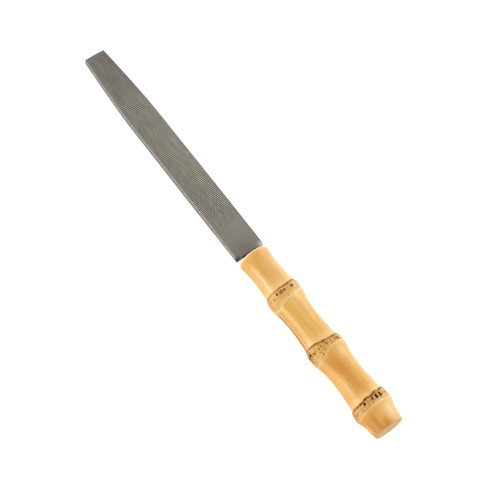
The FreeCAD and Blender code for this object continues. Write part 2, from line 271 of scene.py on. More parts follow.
    # tang: the heel loop shrinks to the tang's section, then tapers to its end
    loop_y, loop_z = Y[0] / W[0], Z[0] / H
    extra = []
    for x, hw, hz in ((0.0, 3.2, 1.45), (-0.35, 3.2, 1.45), (-12, 2.83, 1.26), (-24, 2.32, 1.07), (-36, 1.72, 0.89), (-46, 1.3, 0.75)):
        extra.append(np.stack([np.full(cols, x), loop_y * hw, loop_z * hz], -1))
    e0 = len(verts)
    verts = np.concatenate([verts] + extra)
    info = np.concatenate([info, np.tile([[0, 0, 1.0]], (len(extra) * cols, 1))])
    j = np.arange(cols)
    k = (j + 1) % cols
    faces += np.stack([k, j, e0 + j, e0 + k], -1).tolist()
    for r in range(len(extra) - 1):
        a, b = e0 + r * cols, e0 + (r + 1) * cols
        faces += np.stack([a + k, a + j, b + j, b + k], -1).tolist()
    base = e0 + (len(extra) - 1) * cols
    top0, bot0 = base, base + n + len(left)
    for q in range(n_face):
        faces.append([top0 + q, top0 + q + 1, bot0 + n_face - q - 1, bot0 + n_face - q])
    faces.append([base + n + q for q in range(len(left))] + [bot0, top0 + n_face])
    faces.append([bot0 + n_face] + [base + cols - len(right) + q for q in range(len(right))] + [top0])
    return make_mesh("blade_visual", verts, faces, {"cut": info}, 50)


# ---------------------------------------------------------------- bamboo handle
handle_tree = tree_of("bamboo_handle")
LEDGES = (22.4, 51.1, 80.85)
RINGS = (
    [(81, 22.6), (64, 22.75), (45, 22.7), (26, 23.1), (-2, 23.1), (-18, 23.0), (-30, 22.6), (-54, 21.9), (-100, 21.7), (-150, 22.5), (170, 23.0), (120, 22.9)],
    [(92, 50.9), (65, 50.9), (42, 51.2), (31, 51.5), (19, 51.9), (9, 52.2), (-18, 52.5), (-43, 52.0), (-90, 51.3), (-140, 50.9), (180, 50.7), (130, 50.7)],
    [(90, 81.9), (62, 82.25), (30, 82.2), (11, 82.0), (-5, 82.1), (-15, 81.8), (-37, 81.3), (-57, 80.9), (-100, 80.4), (-150, 81.4), (160, 82.2), (120, 82.1)],
)
# where each root-scar band ends
ENDS = (
    [(90, 28.4), (70, 29.4), (55, 29.7), (40, 28.9), (25, 28.1), (0, 27.8), (-30, 27.4), (-60, 26.6), (-110, 26.4), (-160, 27.4), (150, 28.0)],
    [(90, 58.3), (60, 57.9), (45, 57.8), (27, 57.3), (12, 56.0), (0, 55.5), (-20, 55.3), (-50, 55.2), (-100, 56.0), (-150, 57.2), (150, 58.0)],
    [(92, 86.6), (64, 86.2), (49, 86.0), (30, 85.8), (14, 85.5), (-9, 85.3), (-38, 85.7), (-80, 85.6), (-130, 85.9), (160, 86.3), (120, 86.6)],
)
# root scars that stand out: node, x, degrees, radius, depth, darkness, ring
SCARS = [
    (24.7, 31.5, 0.46, 0.30, 1.0, 0), (25.0, 16, 0.74, 0.22, 0.60, 1), (25.0, 3.5, 0.50, 0.26, 0.72, 0), (24.9, -25.0, 0.66, 0.28, 0.80, 0),
    (25.7, 48.5, 0.50, 0.16, 0.42, 0), (25.0, 65, 0.40, 0.12, 0.3, 0), (28.0, 2.5, 0.34, 0.10, 0.55, 0), (24.4, -12, 0.4, 0.08, 0.2, 0),
    (53.4, 70.5, 0.66, 0.36, 1.0, 0), (53.6, 89, 0.75, 0.3, 0.8, 0), (54.3, 52.5, 0.55, 0.2, 0.50, 0), (54.1, 33, 0.44, 0.2, 0.50, 0),
    (53.9, 23, 0.34, 0.16, 0.50, 0), (54.4, -38, 0.66, 0.28, 0.62, 1), (54.0, -28, 0.5, 0.16, 0.30, 0), (53.9, -12, 0.36, 0.14, 0.38, 0),
    (83.5, 28, 0.56, 0.34, 1.0, 0), (82.6, 33, 0.30, 0.16, 0.7, 0), (83.6, 2, 0.48, 0.32, 1.0, 0), (84.4, -2, 0.30, 0.14, 0.6, 0),
    (83.25, -12, 0.60, 0.36, 1.0, 0), (84.15, -12, 0.57, 0.34, 1.0, 0), (83.22, -25.5, 0.60, 0.36, 1.0, 0), (84.14, -25.5, 0.57, 0.34, 1.0, 0),
    (83.4, -37, 0.42, 0.18, 0.48, 0), (83.7, -49, 0.48, 0.2, 0.6, 0), (84.5, 62, 0.44, 0.16, 0.52, 0), (84.0, 79, 0.44, 0.16, 0.45, 0),
    (82.4, 41, 0.44, 0.2, 0.72, 0), (82.4, 63, 0.36, 0.16, 0.55, 0), (82.3, 20, 0.42, 0.14, 0.7, 0),
]
# how dark the scar line at each joint is, round the stem
LINES = (
    [(90, 0.85), (60, 0.75), (50, 0.75), (38, 0.55), (28, 0.95), (10, 1.0), (0, 0.95), (-15, 0.95), (-30, 0.75), (-60, 0.7), (-120, 0.7), (150, 0.7)],
    [(95, 0.75), (70, 0.8), (60, 0.8), (45, 0.7), (30, 0.95), (10, 1.05), (0, 0.85), (-25, 0.75), (-45, 0.5), (-120, 0.8), (150, 0.8)],
    [(90, 0.8), (70, 0.75), (50, 0.7), (42, 1.25), (20, 1.42), (0, 1.3), (-12, 1.05), (-40, 0.85), (-120, 0.8), (150, 0.8)],
)
GROOVES = ((1, 76.0, 29.5, 51.5), (3, 82.0, 87.0, 96.0), (0, -104.0, 4.0, 22.5), (2, -106.0, 58.5, 81.0))


def outer_radius(x):
    hit = handle_tree.ray_cast(Vector((-x, 0, 20)), Vector((0, 0, -1)))[0]
    return hit.z if hit is not None else 0.0


FRONT = 2.4  # the handle's front face, behind the heel
prof_x = np.arange(FRONT + 0.01, 95.99, 0.05)
prof_r = np.array([outer_radius(float(x)) for x in prof_x])
for _ in range(2):
    prof_r = smooth(prof_r, 2.2)


def build_handle():
    rng = np.random.RandomState(5)
    cols = 200
    phi = np.arange(cols) / cols * 2 * math.pi
    # stations along the outside, closer together at the joints
    u = [FRONT]
    while u[-1] < 95.55:
        x = u[-1]
        near = min(abs(x - c) for c in LEDGES)
        after = min((x - c) if x >= c else 99 for c in LEDGES)
        pitch = 0.13 if (near < 1.6 or after < 6.6) else 0.40
        if x < 6 or x > 93.5:
            pitch = min(pitch, 0.2)
        u.append(x + pitch)
    u = np.array(u)
    u = u[u < 95.6]
    U, PHI = np.meshgrid(u, phi, indexing="ij")
    deg = (np.degrees(PHI) + 180) % 360 - 180
    jag = [
        smooth(np.concatenate([j] * 3), 1.1)[cols : 2 * cols]
        for j in (rng.normal(0, 1, cols) for _ in LEDGES)
    ]
    jag_slow = [
        smooth(np.concatenate([j] * 3), 5)[cols : 2 * cols] * 2.2
        for j in (rng.normal(0, 1, cols) for _ in LEDGES)
    ]
    ring_at, end_at = [], []
    X = U.copy()
    for k, c in enumerate(LEDGES):
        amount = (0.10, 0.15, 0.33)[k]
        where = around(RINGS[k], phi) + amount * jag[k] + 0.10 * jag_slow[k]
        ring_at.append(where)
        end_at.append(around(ENDS[k], phi) + 0.1 * jag_slow[k][::-1])
        d = U - c
        weight = np.where(d < 0, np.exp(-((d / 2.6) ** 2)), np.exp(-((d / 3.6) ** 2)))
        X = X + weight * (where - c)[None, :]
    R = np.interp(U, prof_x, prof_r)
    cap = R.copy()
    # the stem isn't a perfect turning
    wave = ripple(rng, (U, np.cos(PHI) * 3, np.sin(PHI) * 3), [(0.045, (0.13, 0.3, 0.3)), (0.010, (0.4, 0.8, 0.8))])
    ends = step(2.8, 8, U) * (1 - step(90, 95.5, U))
    R = R + (wave - 0.05) * ends
    in_band = np.zeros_like(X)
    scar = np.zeros_like(X)
    crease = np.zeros_like(X)
    after_ring = np.full_like(X, 99.0)
    for k in range(3):
        d = X - ring_at[k][None, :]
        length = (end_at[k] - ring_at[k])[None, :]
        band = step(-0.05, 0.25, d) * (1 - step(-0.5, 0.5, d - length))
        in_band = np.maximum(in_band, band)
        line = np.exp(-(((d - 0.06) / (0.50 + 0.10 * jag_slow[k][None, :])) ** 2)) * around(LINES[k], phi)[None, :]
        scar = np.maximum(scar, line)
        strength = (0.55, 0.9, 0.8)[k]
        e = X - end_at[k][None, :]
        crease = np.maximum(crease, strength * np.exp(-((e / 0.22) ** 2)))
        after_ring = np.where(d > -0.3, np.minimum(after_ring, np.abs(d)), after_ring)
    # break the scar line up round the stem
    breaks = np.clip(0.85 + 0.35 * ripple(rng, (np.cos(PHI) * 7, np.sin(PHI) * 7, X * 0.3), [(0.6, (0.9, 0.9, 1.0)), (0.4, (2.2, 2.2, 1))]), 0.68, 1.15)
    scar_c = scar * breaks
    # grain of the band, on the grid itself
    def grain(sig_u, sig_c):
        g = rng.normal(0, 1, X.shape)
        g = np.apply_along_axis(lambda q: smooth(q, sig_u), 0, g)
        g3 = np.concatenate([g[:, -12:], g, g[:, :12]], 1)
        g3 = np.apply_along_axis(lambda q: smooth(q, sig_c), 1, g3)
        g = g3[:, 12:-12]
        return g / g.std()

    fine = grain(1.4, 0.9)
    coarse = grain(3.0, 2.2)
    R = R + in_band * (0.030 * fine + 0.030 * coarse - 0.05)
    R = R - 0.08 * scar * np.clip(breaks, 0.3, 1) - 0.06 * crease
    # root scars: a pit in a slightly raised collar
    pits = list(SCARS)
    for k in range(3):
        used = [s[1] for s in SCARS if abs(s[0] - LEDGES[k] - 2.5) < 4]
        a = -175.0
        while a < 180:
            if min(abs((a - q + 180) % 360 - 180) for q in used) > 13 and not -60 < a < 100:
                x = float(np.interp(a % 360, np.degrees(phi), ring_at[k])) + rng.uniform(1.6, 2.2)
                pits.append((x, a, rng.uniform(0.38, 0.68), rng.uniform(0.18, 0.34), rng.uniform(0.5, 1.0), int(rng.uniform() < 0.35)))
            a += rng.uniform(12, 20)
    specks = []
    for k, count in ((0, 34), (1, 190), (2, 90)):
        for _ in range(count):
            a = rng.uniform(-180, 180)
            lo = float(np.interp(a % 360, np.degrees(phi), ring_at[k]))
            hi = float(np.interp(a % 360, np.degrees(phi), end_at[k]))
            x = lo + 0.4 + (hi - lo - 0.9) * rng.uniform() ** 1.3
            specks.append((x, a, rng.uniform(0.12, 0.22), 0.06, rng.uniform(0.12, 0.46), 0))
    pit = np.zeros_like(X)
    for x, a, rad, deep, dark, ringed in pits + specks:
        da = (deg - a + 180) % 360 - 180
        sel = (np.abs(X - x) < 3 * rad) & (np.abs(da) < math.degrees(3 * rad / 7.5))
        if not sel.any():
            continue
        rad = rad * 1.22 if deep > 0.1 else rad
        dx = (X[sel] - x) / rad
        dy = np.radians(da[sel]) * R[sel] / rad
        q = np.sqrt(dx * dx + (dy * (0.9 if ringed else 1.0)) ** 2)
        well = 1 - step(0.45, 1.05, q)
        collar = np.exp(-(((q - 1.25) / 0.28) ** 2))
        R[sel] += -deep * well + 0.22 * deep * collar
        if ringed:
            shade = dark * (np.exp(-(((q - 0.72) / 0.36) ** 2)) + 0.62 * (1 - step(0.1, 0.7, q)))
        else:
            shade = dark * (1 - step(0.55, 1.15, q))
        pit[sel] = np.maximum(pit[sel], shade)
    # bud grooves on alternate sides
    channel = np.zeros_like(X)
    border = np.zeros_like(X)
    for k, at, x0, x1 in GROOVES:
        drift = at + 3.0 * (1 - step(x0, x0 + 12, X)) - 0.5 * step(x0 + 10, x1, X)
        da = ((deg - drift + 180) % 360 - 180) / 1.0
        fade = step(x0, x0 + 2.5, X) * (1 - step(x1 - 0.6, x1 + 0.6, X)) if k != 3 else step(x0, x0 + 2.5, X)
        wide = 6.0 + 1.5 * (1 - step(x0, x0 + 8, X))
        flank = np.where(da > 0, 1.0, 1.5) if k == 1 else 1.5
        R = R - (0.32 if k == 1 else 0.42) * fade * np.exp(-((np.abs(da) / (wide * flank)) ** 2.6)) + 0.10 * fade * np.exp(-((da / 3.0) ** 2))
        channel = np.maximum(channel, fade * np.exp(-((da / 3.6) ** 2)))
        border = np.maximum(border, fade * ((0.9 if k in (0, 2) else 1.25) * np.exp(-(((da + 9.0) / 2.9) ** 2)) + {1: 1.4, 3: 0.25}.get(k, 1.5) * np.exp(-(((da - (10.0 if k == 1 else 11.5)) / (4.2 if k == 1 else 6.5)) ** 2))))
    R = np.minimum(R, cap + 0.12)
    near_floor = step(0.5, 1.0, np.exp(-(((U - 3.4) / 1.5) ** 2)))
    R = np.minimum(R, cap + 0.12 * (1 - near_floor))
    # a touch wider than it is high, short of the cut ends
    broad = 0.20 * np.sin(PHI) ** 2 * step(3.5, 7.0, U) * (1 - step(93.5, 95.2, U))
    R = np.minimum(R + broad, np.maximum(R, 8.68))
    # slow wander of the stem's centre line
    wander = np.interp(u, [0, 4.0, 8, 14, 20, 23, 25.5, 30, 36, 44, 50, 56, 60, 66, 74, 79.5, 84, 90, 96],
                       [0, 0, -0.10, -0.18, -0.28, -0.22, -0.06, 0.02, 0.12, 0.06, 0.10, 0.02, -0.04, -0.16, -0.24, -0.30, 0.0, 0.02, 0.0])
    wander = smooth(wander, 6)[:, None]
    YY = R * np.sin(PHI) + wander
    ZZ = R * np.cos(PHI)

    # colour fields -----------------------------------------------------------
    # tone 0 pale cream, 0.5 honey, 1 deep amber
    tone = np.full_like(X, 0.46)
    starts = [np.full(cols, 2.0)] + [e for e in end_at]
    stops = ring_at + [np.full(cols, 97.5)]
    for k in range(4):
        a, b = starts[k][None, :], stops[k][None, :]
        lead = (2.5, 2.2, 2.0, 2.0)[k]
        trail = (4.2, 4.8, 5.0, 0.5)[k]
        inside = step(0, lead, X - a) * (1 - step(-trail, -0.3, X - b))
        here = (X >= a - 1) & (X <= b)
        tone = np.where(here, 0.18 + 0.34 * inside, tone)
    # tone blobs: the stem's own paler and deeper amber patches and streaks, plus painted light: the paler patches low
    # on the right flank (negative amounts at -12 to -28 degrees) are painted highlights, and the darker patch at x 63,
    # 40 degrees is painted shade
    blobs = [  # x, degrees, spread x, spread degrees, amount
        (6.5, 45, 2.0, 14, 0.16), (6, 15, 3, 20, 0.06), (14, 10, 5, 18, 0.05), (10, 78, 8, 12, -0.05),
        (36, 18, 8, 16, 0.12), (33, 30, 3, 8, 0.12), (44, 5, 5, 20, 0.08),
        (67, 18, 8, 12, 0.30), (72, 2, 8, 7, 0.17), (64, 8, 4, 9, 0.15), (77, 14, 4, 10, 0.2), (66, -24, 5, 10, -0.10),
        (92.0, 60, 4.5, 13, 0.34), (92.5, 38, 3.8, 11, 0.40), (63, 40, 5, 12, 0.14), (94, 8, 2.6, 9, 0.36), (90, 22, 2.5, 18, 0.12), (92.5, 64, 4.5, 2.6, 0.26), (92.5, 47, 4.5, 2.2, -0.18), (92.8, 33, 4.2, 2.6, 0.24), (93.2, 14, 3.6, 2.4, 0.24), (92.8, 2, 3.6, 2.2, 0.2), (95.2, 22, 1.9, 30, 0.34), (90.5, -26, 4.0, 14, -0.05),
        (70, 24, 9, 3.0, 0.14), (69, 9, 9, 2.4, 0.12), (68, 33, 8, 2.4, 0.10), (40, 22, 9, 2.6, 0.08), (41, 34, 9, 2.6, 0.10), (13, 20, 7, 3.0, 0.08),
        (90.5, -28, 4, 20, -0.30), (60, -22, 2, 16, -0.2), (29.5, -12, 2.5, 22, -0.2), (19.5, 8, 2.0, 60, -0.10),
    ]
    for x, a, sx, sa, amount in blobs:
        da = (deg - a + 180) % 360 - 180
        tone = tone + amount * np.exp(-(((X - x) / sx) ** 2) - ((da / sa) ** 2))
    hidden = ripple(rng, (X, np.cos(PHI) * 4, np.sin(PHI) * 4), [(0.07, (0.10, 0.6, 0.6)), (0.04, (0.3, 1.2, 1.2))])
    tone = np.clip(tone + hidden, 0, 1.2)
    # shade: darker patches multiplied into the colour; the darker brown of the joint bands and butt, plus painted
    # shade on the left and right flanks and over the lamp-lit band at 40-48 degrees
    shade = np.zeros_like(X)
    for x, a, sx, sa, amount in (
        (54.4, 83, 2.0, 12, 1.0), (52.6, 76, 0.9, 8, 0.3), (54.2, 5, 1.7, 12, 0.40), (54.3, -12, 1.6, 10, 0.20),
        (84.0, 42, 1.8, 8, 0.50), (84.0, 29, 1.7, 8, 0.46), (84.0, 16, 1.6, 8, 0.42), (83.8, 4, 1.4, 8, 0.26), (84.0, 84, 2.2, 14, 0.36), (95.6, 80, 1.8, 14, 0.46), (10.5, 93, 7.0, 9, 0.24), (67.0, 93, 9.0, 9, 0.22), (40.0, -42, 10.0, 13, 0.13), (95.9, 20, 1.1, 40, 0.16), (95.4, -18, 1.4, 18, 0.22),
        (26.5, -8, 2.0, 10, 0.16), (26.5, 84, 2.0, 14, 0.22), (60.5, 60, 2.4, 30, 0.20), (63.0, 39, 4.5, 10, 0.24),
        (88.6, 84, 1.6, 14, 0.22), (92.0, 74, 4.0, 6, 0.20), (40, 48, 9, 12, 0.12), (72, 46, 9, 12, 0.08), (31, 62, 3.0, 7, 0.22),
    ):
        da = (deg - a + 180) % 360 - 180
        shade = np.maximum(shade, amount * np.exp(-(((X - x) / sx) ** 2) - ((da / sa) ** 2)))
    shade = shade * (1 + 0.25 * np.clip(fine, -1.5, 1.5) * in_band)
    # the left flank: painted shade in the colour and a duller coat
    left_flank_shade_and_matt = step(54, 88, deg) * (1 - step(150, 178, deg))
    matt = np.zeros_like(X)
    for x, a, sx, sa, amount in ((93.0, 48, 4.5, 18, 0.85), (62.5, 44, 6.0, 14, 0.6), (3.0, 50, 4.0, 30, 0.5)):
        da = (deg - a + 180) % 360 - 180
        matt = np.maximum(matt, amount * np.exp(-(((X - x) / sx) ** 2) - ((da / sa) ** 2)))
    speck = in_band * np.clip(0.13 * coarse + 0.34 * fine, 0, 1)
    speck *= np.where(X > 45, 1.0, 0.45)
    darks = np.maximum(pit, 0)
    # ring line colour: dark brown, nearly black in places
    line_c = np.clip(scar_c * 1.1, 0, 1.5)
    rim = 1 - step(0.0, 0.8, X - FRONT)
    butt_edge = step(95.1, 95.55, U)

    mask_a = np.stack([tone, in_band, line_c], -1)
    mask_b = np.stack([darks, channel, border], -1)
    mask_c = np.stack([speck, crease, np.maximum(rim, 0)], -1)
    mask_d = np.stack([shade, left_flank_shade_and_matt, matt], -1)

    verts = [np.stack([-X, YY, ZZ], -1).reshape(-1, 3)]
    A, B, C, D = [mask_a.reshape(-1, 3)], [mask_b.reshape(-1, 3)], [mask_c.reshape(-1, 3)], [mask_d.reshape(-1, 3)]
    rows = len(u)
    faces = ring_faces(rows, cols)
    count = rows * cols

    def add_loops(loops, kind, first_loop, flip):
        """loops: (x, radius) circles; joined one to the next from first_loop's vertices."""
        nonlocal count, faces
        prev = first_loop
        j = np.arange(cols)
        k = (j + 1) % cols
        for x, r, shape in loops:
            if shape is None:
                yy, zz = r * np.sin(phi), r * np.cos(phi)
            else:
                yy, zz = shape[0] * r, shape[1] * r
            xx = np.full(cols, -x) if np.isscalar(x) else -np.asarray(x)
            verts.append(np.stack([xx, yy, zz], -1))
            A.append(np.tile([[0.3, 0.0, 0.0]], (cols, 1)))
            B.append(np.zeros((cols, 3)))
            C.append(np.tile([[0.0, 0.0, 0.7 if np.isscalar(x) and x == 95.78 else kind]], (cols, 1)))
            D.append(np.zeros((cols, 3)))
            new = count
            quad = [prev + k, prev + j, new + j, new + k] if flip else [prev + j, prev + k, new + k, new + j]
            faces += np.stack(quad, -1).tolist()
            prev = new
            count += cols
        return prev

    # butt: eased edge, then a sawn face with a shallow fibrous surface
    last = (rows - 1) * cols
    shape = (YY[-1] / 6.6, ZZ[-1] / 6.6)
    steps = [(95.78, 6.52, shape), (95.94, 6.36, shape), (96.0, 6.12, shape)]
    for r in np.linspace(5.8, 0.35, 14):
        rough = rng.normal(0, 0.018, cols)
        rough = smooth(np.concatenate([rough] * 3), 1.2)[cols : 2 * cols]
        steps.append((95.97 - 0.05 * (1 - (r / 6) ** 2) + rough - 0.02, r, shape))
    prev = add_loops(steps, 2.0, last, False)
    verts.append(np.array([[-95.93, 0, 0]]))
    A.append(np.array([[0.3, 0, 0]]))
    B.append(np.zeros((1, 3)))
    C.append(np.array([[0, 0, 2.0]]))
    D.append(np.zeros((1, 3)))
    j = np.arange(cols)
    faces += np.stack([prev + j, prev + (j + 1) % cols, np.full(cols, count)], -1).tolist()
    count += 1
    # front face and the bore for the tang
    prev = add_loops([(FRONT, r, None) for r in (6.3, 5.4, 4.5, 3.6)], 1.0, 0, True)
    prev = add_loops([(x, 3.6, None) for x in (3.5, 8, 20, 34, 48.4)], 1.0, prev, True)
    prev = add_loops([(48.4, r, None) for r in (2.2, 0.8)], 1.0, prev, True)
    verts.append(np.array([[-48.4, 0, 0]]))
    A.append(np.array([[0.3, 0, 0]]))
    B.append(np.zeros((1, 3)))
    C.append(np.array([[0, 0, 1.0]]))
    D.append(np.zeros((1, 3)))
    faces += np.stack([prev + (j + 1) % cols, prev + j, np.full(cols, count)], -1).tolist()
    return make_mesh(
        "bamboo_visual",
        np.concatenate(verts),
        faces,
        {"mask_a": np.concatenate(A), "mask_b": np.concatenate(B), "mask_c": np.concatenate(C), "mask_d": np.concatenate(D)},
        60,
    )


# ---------------------------------------------------------------- materials
def lin(r, g, b):
    def f(c):
        c = c / 255
        return c / 12.92 if c <= 0.04045 else ((c + 0.055) / 1.055) ** 2.4

    return (f(r), f(g), f(b), 1.0)


class Nodes:
    def __init__(self, name):
        self.mat = bpy.data.materials.new(name)
        self.mat.use_nodes = True
        self.t = self.mat.node_tree
        self.t.nodes.clear()
        self.out = self.t.nodes.new("ShaderNodeOutputMaterial")
        self.bsdf = self.t.nodes.new("ShaderNodeBsdfPrincipled")
        self.t.links.new(self.bsdf.outputs[0], self.out.inputs[0])

    def link(self, a, b):
        self.t.links.new(a, b)

    def put(self, socket, value):
        if isinstance(value, bpy.types.NodeSocket):
            self.link(value, socket)
        else:
            socket.default_value = value

    def attribute(self, name):
        n = self.t.nodes.new("ShaderNodeAttribute")
        n.attribute_type = "GEOMETRY"
        n.attribute_name = name
        return n.outputs["Vector"]

    def split(self, vec):
        n = self.t.nodes.new("ShaderNodeSeparateXYZ")
        self.link(vec, n.inputs[0])
        return n.outputs

    def join(self, x, y, z):
        n = self.t.nodes.new("ShaderNodeCombineXYZ")
        for s, v in zip(n.inputs, (x, y, z)):
            self.put(s, v)
        return n.outputs[0]

    def scale(self, vec, s):
        n = self.t.nodes.new("ShaderNodeVectorMath")
        n.operation = "MULTIPLY"
        self.put(n.inputs[0], vec)
        n.inputs[1].default_value = s
        return n.outputs[0]

    def math(self, op, a, b=0.0, c=0.0, clamp=False):
        n = self.t.nodes.new("ShaderNodeMath")
        n.operation = op
        n.use_clamp = clamp
        self.put(n.inputs[0], a)
        self.put(n.inputs[1], b)
        if op in ("MULTIPLY_ADD", "SMOOTH_MIN"):
            self.put(n.inputs[2], c)
        return n.outputs[0]

    def noise(self, vec, scale=1.0, detail=2.0, rough=0.5, distortion=0.0):
        n = self.t.nodes.new("ShaderNodeTexNoise")
        self.link(vec, n.inputs["Vector"])
        n.inputs["Scale"].default_value = scale
        n.inputs["Detail"].default_value = detail
        n.inputs["Roughness"].default_value = rough
        n.inputs["Distortion"].default_value = distortion
        return n.outputs["Fac"]

    def voronoi(self, vec, scale, feature="F1"):
        n = self.t.nodes.new("ShaderNodeTexVoronoi")
        n.feature = feature
        self.link(vec, n.inputs["Vector"])
        n.inputs["Scale"].default_value = scale
        return n.outputs["Distance"]

    def span(self, v, a, b, lo=0.0, hi=1.0):
        n = self.t.nodes.new("ShaderNodeMapRange")
        n.clamp = True
        self.put(n.inputs[0], v)
        for i, q in zip((1, 2, 3, 4), (a, b, lo, hi)):
            n.inputs[i].default_value = q
        return n.outputs[0]

    def mix(self, fac, a, b, mode="MIX"):
        n = self.t.nodes.new("ShaderNodeMix")
        n.data_type = "RGBA"
        n.blend_type = mode
        n.clamp_factor = True
        self.put(n.inputs[0], fac)
        self.put(n.inputs[6], a)
        self.put(n.inputs[7], b)
        return n.outputs[2]

    def ramp(self, fac, stops):
        n = self.t.nodes.new("ShaderNodeValToRGB")
        self.put(n.inputs[0], fac)
        e = n.color_ramp.elements
        while len(e) < len(stops):
            e.new(0.5)
        for el, (p, c) in zip(e, stops):
            el.position = p
            el.color = c
        return n.outputs[0]

    def bump(self, height, distance, strength=1.0, normal=None):
        n = self.t.nodes.new("ShaderNodeBump")
        n.inputs["Strength"].default_value = strength
        n.inputs["Distance"].default_value = distance
        self.link(height, n.inputs["Height"])
        if normal is not None:
            self.link(normal, n.inputs["Normal"])
        return n.outputs[0]

    def set(self, **kw):
        for key, value in kw.items():
            self.put(self.bsdf.inputs[key.replace("_", " ")], value)


def steel():
    m = Nodes("blade_steel")
    p = m.attribute("tool")
    rim, zone, side = m.split(m.attribute("cut"))
    x, y, z = m.split(p)
    cloud = m.noise(m.scale(p, (0.10, 0.16, 0.16)), 1.0, 4.0, 0.6)
    fleck = m.noise(m.scale(p, (2.2, 2.6, 2.6)), 1.0, 3.0, 0.65)
    brushed = m.noise(m.scale(p, (0.5, 6.0, 6.0)), 1.0, 3.0, 0.6)
    colour = m.mix(m.span(cloud, 0.3, 0.7), (0.276, 0.261, 0.226, 1), (0.318, 0.301, 0.262, 1))
    colour = m.mix(m.span(fleck, 0.35, 0.75, 0.0, 0.40), colour, (0.39, 0.367, 0.317, 1))
    colour = m.mix(m.span(brushed, 0.35, 0.7, 0.0, 0.20), colour, (0.20, 0.185, 0.155, 1))
    # the teeth: painted highlight on the crests and painted shade in the cuts, stronger in some patches than in others
    upper = m.span(z, -0.5, 0.5, -1.0, 1.0)
    ys = m.math("MULTIPLY", y, upper)
    along = m.math("MULTIPLY_ADD", y, LEAN, x)
    log_e = m.math("LOGARITHM", m.math("MULTIPLY_ADD", along, PITCH_GROWTH, PITCH_HEEL), math.e)
    count = m.math("MULTIPLY_ADD", log_e, 1 / PITCH_GROWTH, -math.log(PITCH_HEEL + PITCH_GROWTH * 13.0) / PITCH_GROWTH)
    up = m.math("MULTIPLY_ADD", m.math("COSINE", m.math("MULTIPLY", count, 2 * math.pi)), 0.5, 0.5)
    slope = m.math("MULTIPLY_ADD", x, -0.0011, 1.225)
    across = m.math("MULTIPLY", ys, slope)
    run = m.math("MULTIPLY", x, m.math("MULTIPLY_ADD", x, 0.0004, 0.336))
    over_n = m.math("SUBTRACT", run, across)
    over = m.math("MULTIPLY_ADD", m.math("COSINE", m.math("MULTIPLY", over_n, 2 * math.pi)), 0.5, 0.5)
    patches = m.math("COSINE", m.math("MULTIPLY", m.math("SUBTRACT", m.math("ADD", m.math("MULTIPLY", ys, m.span(x, 40.0, 54.0, 1.2, -0.75)), x), 23.8), 2 * math.pi / 16.1))
    uneven = m.noise(m.scale(p, (0.22, 0.30, 0.30)), 1.0, 3.0, 0.6)
    deep = m.math("ADD", m.math("MULTIPLY_ADD", patches, 0.15, 0.60), m.span(uneven, 0.3, 0.7, -0.11, 0.11))
    deep = m.math("MULTIPLY", m.span(deep, 0.0, 1.0, 0.22, 1.0), zone)
    gain = m.math("MULTIPLY", m.span(x, 20.0, 27.0, 1.12, 1.90), m.span(x, 44.0, 52.0, 1.0, 0.56))
    gain = m.math("MULTIPLY", gain, m.math("MULTIPLY", m.span(x, 33.0, 40.0, 1.0, 0.70), m.span(x, 60.0, 66.0, 1.0, 1.16)))
    gain = m.math("MULTIPLY", gain, m.math("MULTIPLY", m.span(x, 75.0, 81.0, 1.0, 1.75), m.span(x, 89.0, 96.0, 1.0, 0.40)))
    deep = m.math("MULTIPLY", deep, gain)
    a = m.math("MULTIPLY", deep, m.span(x, 103.0, 110.0, UP_CONTRAST, UP_CONTRAST * 2.05), clamp=True)
    b = m.math("MULTIPLY", m.math("MULTIPLY", deep, m.span(x, 60.0, 115.0, 1.0, 0.75)), OVER_CONTRAST, clamp=True)
    lit = m.math("MULTIPLY", m.math("SUBTRACT", 1.0, m.math("MULTIPLY", a, up)), m.math("SUBTRACT", 1.0, m.math("MULTIPLY", b, over)))
    even = m.math("MULTIPLY", m.math("MULTIPLY_ADD", a, -0.5, 1.0), m.math("MULTIPLY_ADD", b, -0.5, 1.0))
    lit = m.math("DIVIDE", lit, even)
    # wavy streaks along the blade where the over-cut wanders
    wavy = m.noise(m.scale(p, (0.16, 0.85, 0.85)), 1.0, 2.0, 0.55, 0.8)
    streaks = m.math("MULTIPLY_ADD", m.math("MULTIPLY", m.span(wavy, 0.3, 0.7, -1.0, 1.0), zone), 0.15, 1.0)
    lit = m.math("MULTIPLY", lit, streaks)
    # slightly darker towards the tip and the heel, with a faint gradient across the width; painted shade on the face
    # next to the handle
    lit = m.math("MULTIPLY", lit, m.math("MULTIPLY", m.span(x, 88.0, 108.0, 1.0, 0.82), m.span(x, 48.0, 8.0, 1.0, 0.90)))
    lit = m.math("MULTIPLY", lit, m.math("MULTIPLY_ADD", m.math("MULTIPLY", m.span(x, 18.0, 45.0), m.span(x, 104.0, 90.0)), m.span(y, 6.0, -6.0, -0.09, 0.09), 1.0))
    lit = m.math("MULTIPLY", lit, m.math("SUBTRACT", 1.0, m.math("MULTIPLY", m.span(x, 9.0, 0.3, 0.0, 0.24), m.span(y, -5.5, -2.0))))
    level = m.join(lit, lit, lit)
    colour = m.mix(1.0, colour, level, "MULTIPLY")
    # broken edges: a painted highlight along the +Y edge, a dull brown painted shade along the -Y edge
    nick = m.noise(m.scale(p, (1.1, 1.0, 1.0)), 1.0, 3.0, 0.6)
    colour = m.mix(m.math("MULTIPLY", m.span(rim, 0.15, 0.9), m.span(nick, 0.3, 0.6, 0.72, 0.92)), colour, (0.47, 0.430, 0.370, 1))
    colour = m.mix(m.span(rim, -0.1, -0.7), colour, (0.10, 0.082, 0.062, 1))
    # the narrow sides: painted shade, dark brown, with grind marks across them, lighter near the heel
    grind = m.noise(m.scale(p, (5.0, 1.0, 0.6)), 1.0, 2.0, 0.6)
    sides = m.mix(m.span(grind, 0.35, 0.65), (0.036, 0.028, 0.019, 1), (0.066, 0.052, 0.036, 1))
    sides = m.mix(m.span(x, 19.0, 14.0, 0.0, 0.7), sides, (0.19, 0.162, 0.125, 1))
    colour = m.mix(m.span(side, 0.25, 0.9), colour, sides)
